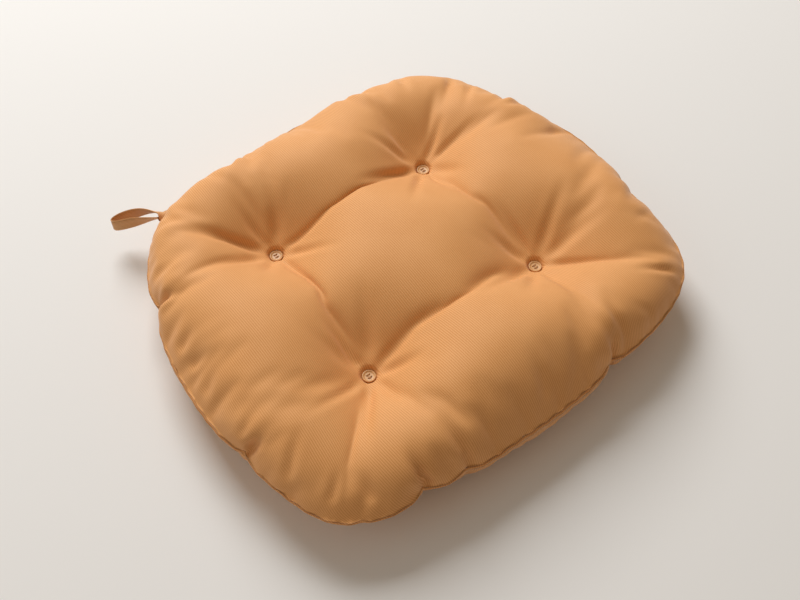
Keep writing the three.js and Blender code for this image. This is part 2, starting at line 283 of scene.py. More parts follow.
def evenly(points, count):
    """A closed line again, as that many points evenly spaced."""
    ring = np.vstack([points, points[:1]])
    along = distances_along(ring)
    return at_lengths(np.linspace(0, along[-1], count, endpoint=False), along, ring)


def outward(points):
    """The way out of a closed line that runs clockwise, at each of its points."""
    run = unit(np.roll(points, -1, 0) - np.roll(points, 1, 0))
    return np.stack([-run[:, 1], run[:, 0]], 1)


def offset(points, distance):
    """A closed line again, that distance further out."""
    return points + outward(points) * np.reshape(distance, (-1, 1))


def length_of(points):
    return np.linalg.norm(np.roll(points, -1, 0) - points, axis=1).sum()


def signed_gap(share, place):
    """How far past the place each share of the way round is, the short way round."""
    return (share - place + 0.5) % 1 - 0.5


def finished_seam(count):
    """The stuffed pad's seam, seen from above, for points evenly spaced round the cut."""
    line = even_seam(4 * count)
    whole = length_of(line)
    share = np.arange(count) / count
    pulled = share.copy()
    out = np.zeros(count)
    for place, distance, width in SWELLS:
        out += distance * np.exp(-(signed_gap(share, place) * whole / width) ** 2)
    for place, distance, width in GATHERS:
        gap = signed_gap(share, place)
        out -= distance * np.exp(-np.abs(gap * whole / width) ** 1.5)
        pulled -= GATHER_BUNCHING * gap * np.exp(-(gap * whole / width) ** 2)
    at = (pulled % 1) * len(line)
    low = np.floor(at).astype(int)
    part = (at - low)[:, None]
    points = line[low % len(line)] * (1 - part) + line[(low + 1) % len(line)] * part
    points = offset(points, out)
    for side in LOOP_SIDES:
        root = loop_root(side)[0][:2]
        away = np.linalg.norm(points - root, axis=1)
        points += (root - points[away.argmin()]) * np.exp(-(away / LOOP_DRAW) ** 2)[:, None]
    return points


class Panel:
    """One flat panel as it is cut: its points, its faces, its edge and its discs under the buttons."""

    def __init__(self, sizes):
        spacing = sizes.thread_grid * 1
        cut = offset(even_seam(2000), sizes.seam_ease)
        self.edge = int(round(length_of(cut) / spacing))
        border = evenly(cut, self.edge)
        tufts = TUFT_PLACES * sizes.tuft_ease
        inner = self.lattice(border, tufts, spacing)
        points, self.discs = [*border, *inner], {}
        for tuft, place in enumerate(tufts):
            for radius, count in ((0, 1), (sizes.disc_radius / 2, 8), (sizes.disc_radius, 16),
                                  (DISC_SKIRT, 16)):
                for turn in 2 * np.pi * np.arange(count) / count:
                    if radius < DISC_SKIRT:
                        self.discs[len(points)] = tuft
                    points.append(place + radius * np.array((np.cos(turn), np.sin(turn))))
        edges = [(i, (i + 1) % self.edge) for i in range(self.edge)]
        made = delaunay_2d_cdt([Vector(p) for p in points], edges, [], 1, 1e-7)
        self.flat = np.array(points)
        self.tufts = tufts
        source = [origin[0] for origin in made[3]]
        self.faces = self.quads([[source[i] for i in face] for face in made[2]])

    @staticmethod
    def lattice(border, tufts, spacing):
        """Points on the straight of the cloth, clear of its edge and of the tufts."""
        steps = np.arange(-0.3, 0.3, spacing)
        grid = np.stack(np.meshgrid(steps, steps), -1).reshape(-1, 2)
        bearing = np.arctan2(border[:, 1], border[:, 0])
        order = np.argsort(bearing)
        reach = np.interp(np.arctan2(grid[:, 1], grid[:, 0]), bearing[order],
                          np.linalg.norm(border[order], axis=1), period=2 * np.pi)
        keep = np.linalg.norm(grid, axis=1) < reach - 0.7 * spacing
        for place in tufts:
            keep &= np.linalg.norm(grid - place, axis=1) > DISC_SKIRT + 0.55 * spacing
        return grid[keep]

    def quads(self, triangles):
        """The faces, with pairs of triangles joined into squares, all seen from above."""
        flat = [(*p, 0) for p in self.flat]
        mesh = bpy.data.meshes.new("cut")
        mesh.from_pydata(flat, [], triangles)
        work = bmesh.new()
        work.from_mesh(mesh)
        bmesh.ops.join_triangles(work, faces=work.faces[:], angle_face_threshold=math.radians(5),
                                 angle_shape_threshold=math.radians(25))
        faces = []
        for face in work.faces:
            corners = [v.index for v in face.verts]
            faces.append(corners if face.normal.z > 0 else corners[::-1])
        work.free()
        bpy.data.meshes.remove(mesh)
        return faces


# ---- Sewing, drawing in and filling -------------------------------------------------------------------

def case_numbering(panel):
    """For each point of the panel, its number in the sewn case's lower half. The edge is shared."""
    count = len(panel.flat)
    lower = np.arange(count) + count - panel.edge
    lower[:panel.edge] = np.arange(panel.edge)
    return lower


def stuffed_case(panel, sizes):
    """The two panels sewn at the edge, drawn in at the tufts and blown up by the filling."""
    count, lower = len(panel.flat), case_numbering(panel)
    from_edge = gap_to_nearest(panel.flat, panel.flat[:panel.edge:3])
    rise = 1 - np.exp(-from_edge / EDGE_RISE)
    mid = (TOP_PIT_FLOOR + BOTTOM_PIT_FLOOR) / 2
    start = np.zeros((2 * count - panel.edge, 3))
    start[lower] = np.c_[panel.flat, mid + (BOTTOM_PIT_FLOOR - mid) * rise]
    start[:count] = np.c_[panel.flat, mid + (TOP_PIT_FLOOR - mid) * rise]
    faces = panel.faces + [[lower[i] for i in face[::-1]] for face in panel.faces]
    case = piece_from("case", start, faces)

    case.shape_key_add(name="as cut")
    drawn = case.shape_key_add(name="drawn in")
    held = case.vertex_groups.new(name="held")
    for i, tuft in panel.discs.items():
        place = TUFT_PLACES[tuft] + panel.flat[i] - panel.tufts[tuft]
        for number, height in ((i, TOP_PIT_FLOOR), (int(lower[i]), BOTTOM_PIT_FLOOR)):
            drawn.data[number].co = (*place, height)
            held.add([number], 1.0, "REPLACE")
    for i, place in enumerate(finished_seam(panel.edge)):
        drawn.data[i].co = (*place, SEAM_HEIGHT)
        held.add([i], 1.0, "REPLACE")
    drawn.value = 0
    drawn.keyframe_insert("value", frame=1)
    drawn.value = 1
    drawn.keyframe_insert("value", frame=sizes.drawing_frames)

    seat = piece_from("seat", [(-1, -1, 0), (1, -1, 0), (1, 1, 0), (-1, 1, 0)], [(0, 1, 2, 3)])
    seat.location.z = -1.2 * MM      # the cloth stops this far above the seat
    seat.modifiers.new("Collision", "COLLISION")
    seat.collision.thickness_outer = 1 * MM
    seat.collision.cloth_friction = 5

    modifier = case.modifiers.new("Cloth", "CLOTH")
    cloth, contact = modifier.settings, modifier.collision_settings
    cloth.quality = 8
    cloth.mass = 0.3
    cloth.tension_stiffness = 40
    cloth.compression_stiffness = 3
    cloth.shear_stiffness = 5
    cloth.bending_stiffness = 4
    cloth.use_pressure = True
    cloth.uniform_pressure_force = sizes.filling_pressure
    cloth.vertex_group_mass = "held"
    cloth.effector_weights.gravity = 0
    contact.use_collision = True
    contact.distance_min = 1 * MM
    modifier.point_cache.frame_end = sizes.settling_frames
    scene = bpy.context.scene
    for number in range(1, sizes.settling_frames + 1):
        scene.frame_set(number)
    shown = case.evaluated_get(bpy.context.evaluated_depsgraph_get())
    points = np.array([v.co for v in shown.data.vertices])
    edges = np.array([e.vertices[:] for e in case.data.edges])
    for spent in (case, seat):
        bpy.data.objects.remove(spent)
    scene.frame_set(1)
    return eased(points, edges, panel, sizes), faces


def eased(points, edges, panel, sizes):
    """The case again, with its valleys rounded as the filling's own spring rounds them."""
    count, lower = len(panel.flat), case_numbering(panel)
    flat = np.zeros((len(points), 2))
    flat[lower] = panel.flat
    flat[:count] = panel.flat
    border = panel.flat[:panel.edge]
    from_edge = gap_to_nearest(flat, border[::3])
    give = smoothstep((gap_to_nearest(flat, panel.tufts) - sizes.disc_radius) / (12 * MM)) * np.clip(
        from_edge / (25 * MM), 0, 1)
    give[:panel.edge] = 0
    ends = np.concatenate([edges, edges[:, ::-1]])
    shares = np.bincount(ends[:, 0], minlength=len(points))[:, None]
    soft = points.copy()
    for _ in range(sizes.easing_passes):
        total = np.stack([np.bincount(ends[:, 0], soft[ends[:, 1], k], len(points)) for k in range(3)], 1)
        soft += (total / shares - soft) * 0.5 * give[:, None]
    soft += (points - soft) * sizes.crease_kept
    # the pad's weight presses the lower edge in under the seam
    nearest = np.argmin([np.linalg.norm(panel.flat - p, axis=1) for p in border], axis=0)
    under = np.sin(np.pi * np.clip(from_edge[lower] / TUCK_REACH, 0, 1)) * TUCK_DEPTH
    soft[lower, :2] -= outward(border)[nearest] * under[:, None]
    return soft


# ---- Pieces of the case -------------------------------------------------------------------------------

def lip_directions(panel, points, ring):
    """Which way one panel leaves the seam at each point of its edge, square to the seam."""
    leaving = np.zeros((panel.edge, 3))
    for face in panel.faces:
        for a, b in zip(face, face[1:] + face[:1]):
            if (a < panel.edge) != (b < panel.edge):
                rim, inner = (a, b) if a < panel.edge else (b, a)
                leaving[rim] += unit(points[inner] - points[rim])
    for _ in range(12):
        leaving = (np.roll(leaving, 1, 0) + 2 * leaving + np.roll(leaving, -1, 0)) / 4
    run = unit(np.roll(ring, -1, 0) - np.roll(ring, 1, 0))
    leaving -= run * (leaving * run).sum(1)[:, None]
    return unit(leaving)


def seam_opening(ring):
    """How far each lip stands off the seam's plane: more where a tie loop is sewn in."""
    gap = np.full(len(ring), 0.25 * MM)
    for side in LOOP_SIDES:
        away = np.linalg.norm(ring[:, :2] - loop_root(side)[0][:2], axis=1)
        gap += 0.55 * MM * smoothstep((14 * MM - away) / (5 * MM))
    return gap


def sewn_panel(name, panel, points, up, sizes):
    """One panel of the stuffed case, with its rolled lip and the allowance turned into the seam."""
    edge = panel.edge
    ring = points[:edge].copy()
    out = np.c_[outward(ring[:, :2]), np.zeros(edge)]
    rise = np.array((0, 0, up))
    leaving = lip_directions(panel, points, ring)
    gap = seam_opening(ring)[:, None]
    lip = sizes.lip_radius
    # from the cloth round the lip, through the seam, and in to the cut edge
    rows = [
        ring + leaving * 1.6 * lip,
        ring + leaving * 0.7 * lip - out * 0.3 * lip + rise * gap * 0.6,
        ring - out * 1.5 * lip + rise * gap,
        ring - out * sizes.seam_allowance + rise * gap,
    ]
    flat_out = outward(panel.flat[:edge])
    flat_rows = [panel.flat[:edge] + flat_out * step for step in (0, 1 * MM, 2.3 * MM, sizes.seam_allowance)]
    all_points = np.concatenate([rows[0], points[edge:], *rows[1:]])
    all_flat = np.concatenate([flat_rows[0], panel.flat[edge:], *flat_rows[1:]])
    starts = [0] + [len(points) + edge * k for k in range(3)]
    faces = [list(face) for face in panel.faces]
    for here, there in zip(starts, starts[1:]):
        for i in range(edge):
            after = (i + 1) % edge
            faces.append([here + after, here + i, there + i, there + after])
    # the cut runs clockwise, so the lip's faces already look out of the top panel
    if up < 0:
        faces = [face[::-1] for face in faces]
    made = piece_from(name, all_points, faces)
    mark_cut(made, all_flat)
    smooth = made.modifiers.new("Smooth", "SUBSURF")
    smooth.levels = smooth.render_levels = 1
    crease(made, panel, up)
    cloth = made.modifiers.new("Cloth thickness", "SOLIDIFY")
    cloth.thickness = sizes.cloth_thickness
    cloth.offset = -1
    return made


def crease_lines(panel, up):
    """The cloth's creases, in from the seam and out from each tuft: start, way, length, depth and width."""
    chance = np.random.default_rng(11 if up > 0 else 12)
    border = panel.flat[:panel.edge]
    inward = -outward(border)
    lines = []
    for place, depth, _ in GATHERS:
        at = int(place * panel.edge)
        lines.append((border[at], inward[at], 60 * MM, 0.3 * depth, 8 * MM))
        lines.append((border[at], inward[at], 32 * MM, 0.42 * depth, 5 * MM))
    for number in range(SEAM_PUCKERS):
        at = int((number + chance.uniform(0, 0.8)) * panel.edge / SEAM_PUCKERS)
        lean = chance.uniform(-0.5, 0.5)
        way = unit(inward[at] + lean * np.array((inward[at][1], -inward[at][0])))
        size = [chance.uniform(*span) * MM for span in SEAM_PUCKER_SIZES]
        lines.append((border[at] + way * SEAM_PUCKER_START, way, *size))
    for tuft in panel.tufts:
        for number in range(TUFT_PUCKERS):
            turn = 2 * np.pi * (number + chance.uniform(-0.35, 0.35)) / TUFT_PUCKERS
            way = np.array((math.cos(turn), math.sin(turn)))
            size = [chance.uniform(*span) * MM for span in TUFT_PUCKER_SIZES]
            lines.append((tuft + way * 3 * MM, way, *size))
    return lines


def crease_depth(flat, panel, up):
    """How far the creases press in each place on the cloth. Each is a soft valley between two ridges."""
    chance = np.random.default_rng(5)
    depths = np.zeros(len(flat))
    for start, way, length, depth, width in crease_lines(panel, up):
        along = (flat - start) @ way / length
        bow = chance.uniform(-0.9, 0.9) * along ** 2
        across = (flat - start) @ np.array((-way[1], way[0])) / width + bow
        fade = smoothstep(along / 0.25) * (1 - smoothstep((along - 0.3) / 0.7))
        depths += depth * (1 - across ** 2) * np.exp(-across ** 2) * fade
    return depths * smoothstep((gap_to_nearest(flat, panel.tufts) - BUTTON_HOLD) / (5 * MM))


def crease(piece, panel, up):
    """Presses the creases into a panel, and swells it up in a collar round each button."""
    shown = piece.evaluated_get(bpy.context.evaluated_depsgraph_get())
    mesh = bpy.data.meshes.new_from_object(shown)
    piece.modifiers.clear()
    blank, piece.data = piece.data, mesh
    bpy.data.meshes.remove(blank)
    on_cloth = np.zeros(2 * len(mesh.loops))
    mesh.uv_layers["cut"].data.foreach_get("uv", on_cloth)
    flat = np.zeros((len(mesh.vertices), 2))
    flat[corner_points(mesh)] = on_cloth.reshape(-1, 2)
    points = np.array([v.co for v in mesh.vertices])
    normals = np.array([n.vector for n in mesh.vertex_normals])
    pressed = points - normals * crease_depth(flat, panel, up)[:, None]
    past_button = gap_to_nearest(flat, panel.tufts) - BUTTON_HOLD
    collar = smoothstep(past_button / COLLAR_RISE) * np.exp(-(past_button / COLLAR_SPREAD) ** 2)
    pressed[:, 2] += up * COLLAR_HEIGHT * collar
    pressed[:, 2] = np.maximum(pressed[:, 2], 0)
    mesh.vertices.foreach_set("co", pressed.ravel())
    mesh.update()


def wadding(panel, points, faces, sizes):
    """The filling: the inside of the case, with a slot round its edge for the seam's allowances."""
    mesh = bpy.data.meshes.new("inside")
    mesh.from_pydata([tuple(p) for p in points], [], faces)
    normals = np.array([n.vector[:] for n in mesh.vertex_normals])
    bpy.data.meshes.remove(mesh)
    depth = np.zeros(len(points))
    depth[case_numbering(panel)] = crease_depth(panel.flat, panel, -1)
    depth[:len(panel.flat)] = crease_depth(panel.flat, panel, 1)
    inside = points - normals * (sizes.cloth_thickness + WADDING_GAP + depth)[:, None]
    edge = panel.edge
    out = np.c_[outward(points[:edge, :2]), np.zeros(edge)]
    inside[:edge] = points[:edge] - out * (sizes.seam_allowance + 1.5 * MM)
    return piece_from("fibre_wadding", inside, faces)


def stitch_line(ring, out, pitch, depth, height, inset):
    """A thread that crosses the seam from lip to lip, once in each half pitch."""
    count = 4 * int(round(length_of(ring) / pitch))
    at = np.arange(count) * len(ring) / count
    low = np.floor(at).astype(int)
    part = (at - low)[:, None]
    place = ring[low] * (1 - part) + ring[(low + 1) % len(ring)] * part
    facing = unit(out[low] * (1 - part) + out[(low + 1) % len(ring)] * part)
    phase = np.pi / 2 * np.arange(count)
    reach = inset - depth * np.cos(2 * phase)
    return place - facing * reach[:, None] + np.c_[np.zeros((count, 2)), height * np.sin(phase + np.pi / 4)]


# ---- Tie loops ----------------------------------------------------------------------------------------

# How each loop lies, as in the frame: lean and twist in degrees, droop and opening in metres
LOOP_LAY = {
    "left": {"lean": -22, "droop": 13 * MM, "twist": 90, "opening": 13 * MM},
    "right": {"lean": -38, "droop": 34 * MM, "twist": 12, "opening": 3 * MM},
}
LOOP_REACH = 52 * MM            # root to tip, in a straight line
LOOP_ROOT_SHARE = 0.3           # how open a loop is at its root, as a share of its full opening
LOOP_FIRST_TWIST = 0.12         # the strip is half way round by here, hidden under the pad's edge
LOOP_TWIST_END = 0.75           # and all the way round by here
PRESSED_THICKNESS = 0.5 * MM    # the strip where it is sewn into the seam
PRESSED_SHARE = 0.12            # share of the strip, at each end, in which it comes to its full thickness
STRIP_STITCH_INSET = 1.8 * MM   # the strip's own stitching, in from its open edge
STRIP_STITCH_ENDS = (15 * MM, 17 * MM)     # how much of the strip has no stitching at its start and end
HINGE_OFFSET = 0.5 * MM         # a loop's hinge, out from where its pressed ends start


def loop_joint(side):
    return next(j for j in frame["joints"] if j["child"] == f"loop_{side}")


def loop_root(side):
    """Where a loop leaves the seam, the direction out and the run of the seam there."""
    joint = loop_joint(side)
    run = np.array(joint["axis"], float)
    out = np.array((-run[1], run[0], 0.0))
    return np.array(joint["pos_m"], float) - HINGE_OFFSET * out, out, run


def loop_strip_frame(side, t):
    """Middle line and width direction of a loop's strip at each t, from end to end."""
    lay = LOOP_LAY[side]
    start, out, run = loop_root(side)
    lean, level = math.radians(lay["lean"]), math.sqrt(LOOP_REACH ** 2 - lay["droop"] ** 2)
    reach = (1 - np.cos(2 * np.pi * t)) / 2
    opened = 0.5 * smoothstep(reach / LOOP_FIRST_TWIST) + 0.5 * smoothstep(reach / LOOP_TWIST_END)
    twist = (math.radians(lay["twist"]) * opened)[:, None]
    turn = (lean * opened)[:, None]
    side_way = np.cross(run, (0, 0, 1.0))
    across = run * np.cos(turn) + side_way * np.sin(turn)
    width = across * np.cos(twist) - np.array((0, 0, 1.0)) * np.sin(twist)
    opening = lay["opening"] * (LOOP_ROOT_SHARE + (1 - LOOP_ROOT_SHARE) * reach)
    apart = (-opening / 2 * np.sin(2 * np.pi * t)
             - (PRESSED_THICKNESS / 2 + CLEARANCE) * np.cos(np.pi * t))[:, None]
    middle = (start + out * (level * reach * math.cos(lean))[:, None]
              + run * (level * reach ** 1.5 * math.sin(lean))[:, None]
              + across * apart * np.sin(twist))
    middle[:, 2] += (apart * np.cos(twist))[:, 0] - lay["droop"] * reach ** 1.5
    return middle, width


def folded_section(width, thickness):
    """Section of a strip folded in on itself: fat at its fold, nipped in where it is stitched."""
    half = width / 2
    across = np.concatenate([np.linspace(-half, -half + 3 * MM, 7), np.linspace(-half + 4 * MM, half, 8)])
    nip = 0.45 * np.exp(-((across - (-half + STRIP_STITCH_INSET)) / (0.7 * MM)) ** 2)
    bulk = 0.18 * np.exp(-((across - (half - 1.2 * MM)) / (1.4 * MM)) ** 2)
    edge = np.sqrt(np.clip(1 - ((np.abs(across) - half + 0.5 * MM) / (0.5 * MM)).clip(0, 1) ** 2, 0.04, 1))
    height = thickness / 2 * (0.86 - nip + bulk) * edge
    return np.concatenate([np.c_[across, height], np.c_[across, -height][::-1]])


def tie_strip(side, sizes):
    """The loop's folded strip, with both ends run on into the seam."""
    t = np.linspace(0, 1, sizes.strip_steps)
    middle, width = loop_strip_frame(side, t)
    out = loop_root(side)[1]
    tail = np.linspace(sizes.strip_tail, sizes.strip_tail / 6, 5)[:, None]
    middle = np.concatenate([middle[0] - out * tail, middle, middle[-1] - out * tail[::-1]])
    width = unit(np.concatenate([np.repeat(width[:1], 5, 0), width, np.repeat(width[-1:], 5, 0)]))
    t = np.concatenate([np.zeros(5), t, np.ones(5)])
    ahead = np.gradient(middle, axis=0)
    face = unit(np.cross(width, ahead))
    pressed = 1 - smoothstep(np.minimum(t, 1 - t) / PRESSED_SHARE)
    section = folded_section(sizes.strip_width, 1.0)
    thickness = sizes.strip_thickness + (PRESSED_THICKNESS - sizes.strip_thickness) * pressed
    points = (middle[:, None] + width[:, None] * section[None, :, :1]
              + face[:, None] * section[None, :, 1:] * thickness[:, None, None])
    sides = len(section)
    made = piece_from(f"tie_strip_{side}", points.reshape(-1, 3), skin(len(t), sides))
    mark_cut(made, np.stack([np.tile(section[:, 0], len(t)), np.repeat(distances_along(middle), sides)], 1))
    return made, middle, width, face, thickness


def strip_stitches(side, middle, width, face, thickness, sizes):
    """Short stitches down both faces of the strip, along its open edge."""
    along = distances_along(middle)
    pitch = sizes.strip_stitch
    parts = []
    first, last = STRIP_STITCH_ENDS
    for start in np.arange(first, along[-1] - last, pitch):
        at = start + np.array((0, 0.12, 0.3, 0.5, 0.7, 0.88, 1)) * pitch * 0.72
        lift = np.array((-0.5, 0.2, 0.5, 0.6, 0.5, 0.2, -0.5)) * 0.26 * MM
        place, wide, proud = [at_lengths(at, along, values) for values in (middle, width, face)]
        deep = np.interp(at, along, thickness)[:, None] * 0.24
        for way in (1, -1):
            path = (place - wide * (sizes.strip_width / 2 - STRIP_STITCH_INSET)
                    + way * unit(proud) * (deep + lift[:, None]))
            parts.append(tube(path, 0.16 * MM, 6))
    points, faces = joined(parts)
    return piece_from(f"tie_strip_{side}_stitching", points, faces)


# ---- Buttons and lacings ------------------------------------------------------------------------------

HOLE_CORNERS = ((-1, -1), (1, -1), (1, 1), (-1, 1))


def arc(middle, radius, start, end, steps):
    """Points of an arc in a lathe profile, between two angles in degrees."""
    turns = np.radians(np.linspace(start, end, steps))
    across, up = middle
    return [(across + radius * math.cos(turn), up + radius * math.sin(turn)) for turn in turns]


def button_mesh(sizes):
    """A four-hole button on z = 0: a rounded back, a raised rim and a dish with four holes."""
    low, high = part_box("button_top_rear_left")
    radius, height = (high.y - low.y) / 2, high.z - low.z
    back, fillet = 1.1 * MM, 0.55 * MM
    rim = sizes.button_rim / 2
    dish = height - sizes.button_dish
    dish_radius = radius - 2.1 * rim - 0.9 * MM
    profile = [(0.0, 0.0)]
    profile += arc((radius - back, back), back, -90, 0, 8)
    profile += arc((radius - rim, height - rim), rim, 0, 150, 12)
    profile += arc((dish_radius, dish + fillet), fillet, -30, -90, 5)
    profile += [(share * dish_radius, dish) for share in (0.66, 0.33, 0)]
    sides = 64
    points, faces = [(0, 0, profile[0][1])], []
    ring = profile[1:-1]
    for r, z in ring:
        turns = 2 * np.pi * np.arange(sides) / sides
        points += [(r * math.cos(turn), r * math.sin(turn), z) for turn in turns]
    points.append((0, 0, profile[-1][1]))
    for k in range(sides):
        after = (k + 1) % sides
        faces.append((0, 1 + after, 1 + k))
        for row in range(len(ring) - 1):
            here, there = 1 + row * sides, 1 + (row + 1) * sides
            faces.append((here + k, here + after, there + after, there + k))
        top = 1 + (len(ring) - 1) * sides
        faces.append((top + k, top + after, len(points) - 1))
    disc = piece_from("button_blank", points, faces)
    drills = []
    for x, y in HOLE_CORNERS:
        place = np.array((x, y)) * sizes.hole_spacing / 2
        drill_path = [(*place, z) for z in (-5 * MM, 5 * MM)]
        drills.append(tube(drill_path, sizes.hole_radius, 20))
    drill = piece_from("drill", *joined(drills))
    cut = disc.modifiers.new("Holes", "BOOLEAN")
    cut.object = drill
    cut.solver = "EXACT"
    soften = disc.modifiers.new("Soft edges", "BEVEL")
    soften.width = 0.14 * MM
    soften.segments = 2
    soften.limit_method = "ANGLE"
    soften.angle_limit = math.radians(50)
    shown = disc.evaluated_get(bpy.context.evaluated_depsgraph_get())
    mesh = bpy.data.meshes.new_from_object(shown)
    mesh.shade_smooth()
    for spent in (disc, drill):
        bpy.data.objects.remove(spent)
    return mesh


def lacing(place, sizes):
    """One thread that runs round through all four holes of both buttons, with its knot and tails below."""
    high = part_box("button_top_rear_left")[1].z - sizes.button_dish
    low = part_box("button_bottom_rear_left")[0].z + sizes.button_dish
    corners = [np.array((x, y)) * sizes.hole_spacing / 2 for x, y in HOLE_CORNERS]
    path = []
    for number, here in enumerate(corners):
        there = corners[(number + 1) % 4]
        above = number % 2 == 0
        z, up = (high, 1) if above else (low, -1)
        heights = (low, high) if above else (high, low)
        for share in np.linspace(0, 1, 6)[:-1]:
            path.append((*here, heights[0] + share * (heights[1] - heights[0])))
        middle, arm = (here + there) / 2, (here - there) / 2
        rise = 0.55 * np.linalg.norm(arm)
        for turn in np.linspace(0, np.pi, 9)[:-1]:
            path.append((*(middle + arm * math.cos(turn)), z + up * rise * math.sin(turn)))
    parts = [tube(path, sizes.thread_radius, 10, closed=True, plies=3, lay=THREAD_LAY)]
    # the knot is a trefoil, just below the bottom button
    t = np.linspace(0, 2 * np.pi, 48, endpoint=False)
    knot = np.stack([np.sin(t) + 2 * np.sin(2 * t), np.cos(t) - 2 * np.cos(2 * t), -np.sin(3 * t)], 1)
    knot = knot * 0.5 * MM + (-sizes.hole_spacing / 2, 0, low - 1.3 * MM)
    parts.append(tube(knot, sizes.thread_radius, 10, closed=True, plies=3, lay=THREAD_LAY))
    for way in (-1, 1):
        reach = np.linspace(0, 1, 8)[:, None]
        droop = np.array((0, 0, 1.5 * MM)) * reach ** 2
        tail = knot[0] + np.array((-5.0, 2.4 * way, 0)) * MM * reach + droop
        parts.append(tube(tail, 0.8 * sizes.thread_radius, 8, plies=3, lay=THREAD_LAY))
    points, faces = joined(parts)
    return points + (*place, 0), faces


# ---- Materials ----------------------------------------------------------------------------------------

def new_material(name, colour, roughness, **constants):
    """A material with its shader, all-over values set on the shader's own sockets."""
    material = bpy.data.materials.new(name)
    material.use_nodes = True
    shader = material.node_tree.nodes["Principled BSDF"]
    shader.inputs["Base Color"].default_value = colour
    shader.inputs["Roughness"].default_value = roughness
    for socket, value in constants.items():
        shader.inputs[socket.replace("_", " ")].default_value = value
    return material, material.node_tree, shader


def wave_scale(spacing):
    """The Wave texture draws one band in each pi/10 of its own units."""
    return math.pi / 10 / spacing


def dye_shade_and_relief(tree, shader, tone, ends, height, relief, span=(0.0, 1.0)):
    """Runs a surface's colour between two ends by one pattern, and raises it by another.

    The span is the part of the first pattern that the colour runs over. The relief is how strong the
    second one shows, and its real height.
    """
    # painted shade: where the tone follows the same pattern as the relief, the darker end falls in the low
    # places
    depth = add_node(tree, "ShaderNodeValToRGB", {}, {}, {"Fac": tone})
    for end, place, colour in zip(depth.color_ramp.elements, span, ends):
        end.position = place
        end.color = colour
    strength, distance = relief
    bump = add_node(tree, "ShaderNodeBump", {}, {"Strength": strength, "Distance": distance},
                    {"Height": height})
    tree.links.new(depth.outputs["Color"], shader.inputs["Base Color"])
    tree.links.new(bump.outputs["Normal"], shader.inputs["Normal"])


def cotton_twill(name, cloth, colour, shade):
    """Piece-dyed cotton twill, brushed: matt, finely ribbed, with a soft bloom of loose fibre.

    Real ribs are about 1 mm apart, too fine to show, so they are drawn at the rib spacing given. The
    weave follows the cloth as it was cut, so it bends with every fold.
    """
    material, tree, shader = new_material(name, colour, 0.68, Sheen_Weight=cloth.sheen, Sheen_Roughness=0.45,
                                          Specular_IOR_Level=0.4)
    cut = {"Vector": add_node(tree, "ShaderNodeUVMap", {"uv_map": "cut"}).outputs["UV"]}
    ribs, picks = [
        add_node(tree, "ShaderNodeTexWave", {"bands_direction": way},
                 {"Scale": wave_scale(spacing), "Distortion": wander, "Detail": 1.0,
                  "Detail Scale": 0.5}, cut)
        for way, spacing, wander in (("X", cloth.rib_spacing, 0.6), ("Y", cloth.rib_spacing * 0.7, 0.8))]
    fibres = add_node(tree, "ShaderNodeTexNoise", {},
                      {"Scale": 1 / cloth.slub_size, "Detail": 4.0, "Roughness": 0.7}, cut)
    tone = add_node(tree, "ShaderNodeTexNoise", {}, {"Scale": 1 / cloth.dye_patch, "Detail": 2.0}, cut)
    weave = add_node(tree, "ShaderNodeMix", {"data_type": "FLOAT"}, {0: 0.2},
                     {2: ribs.outputs["Fac"], 3: picks.outputs["Fac"]})
    cloth_height = add_node(tree, "ShaderNodeMix", {"data_type": "FLOAT"}, {0: 0.35},
                            {2: weave.outputs[0], 3: fibres.outputs["Fac"]})
    # painted shade: the colour ramp follows the weave's height, so the grooves between the threads are
    # painted darker and the crowns lighter, mixed with patches of uneven dyeing
    weave_shade_and_dyeing = add_node(tree, "ShaderNodeMix", {"data_type": "FLOAT"}, {0: 0.25},
                      {2: cloth_height.outputs[0], 3: tone.outputs["Fac"]})
    dye_shade_and_relief(tree, shader, weave_shade_and_dyeing.outputs[0], (shade, colour), cloth_height.outputs[0],
                   (0.45, cloth.rib_height), span=(0.25, 0.72))
    return material


def polyester_wadding(name, colour, shade):
    """Carded hollow polyester fibre: white, matt and clumped, with painted shade between the clumps and
    strands a few millimetres apart.
    """
    material, tree, shader = new_material(name, colour, 1.0, Sheen_Weight=0.3, Specular_IOR_Level=0.1)
    place = {"Vector": add_node(tree, "ShaderNodeTexCoord").outputs["Object"]}
    clumps = add_node(tree, "ShaderNodeTexNoise", {},
                      {"Scale": 1 / (6 * MM), "Detail": 8.0, "Distortion": 1.5}, place).outputs["Fac"]
    # painted shade: the colour follows the clumps' relief, darker between them
    dye_shade_and_relief(tree, shader, clumps, (shade, colour), clumps, (0.8, 1.5 * MM))
    return material


def moulded_polyester(name, colour, shade):
    """Cast polyester button stock, dyed right through and tumbled: a soft gloss and a faint cloud."""
    material, tree, shader = new_material(name, colour, 0.38, IOR=1.56)
    place = {"Vector": add_node(tree, "ShaderNodeTexCoord").outputs["Object"]}
    cloud = add_node(tree, "ShaderNodeTexNoise", {},
                     {"Scale": 1 / (3 * MM), "Detail": 3.0, "Distortion": 0.8}, place).outputs["Fac"]
    tumbled = add_node(tree, "ShaderNodeTexNoise", {},
                       {"Scale": 1 / (0.4 * MM), "Detail": 5.0}, place).outputs["Fac"]
    gloss = add_node(tree, "ShaderNodeMapRange", {}, {"To Min": 0.3, "To Max": 0.5}, {"Value": tumbled})
    tree.links.new(gloss.outputs["Result"], shader.inputs["Roughness"])
    dye_shade_and_relief(tree, shader, cloud, (shade, colour), tumbled, (0.15, 0.05 * MM))
    return material


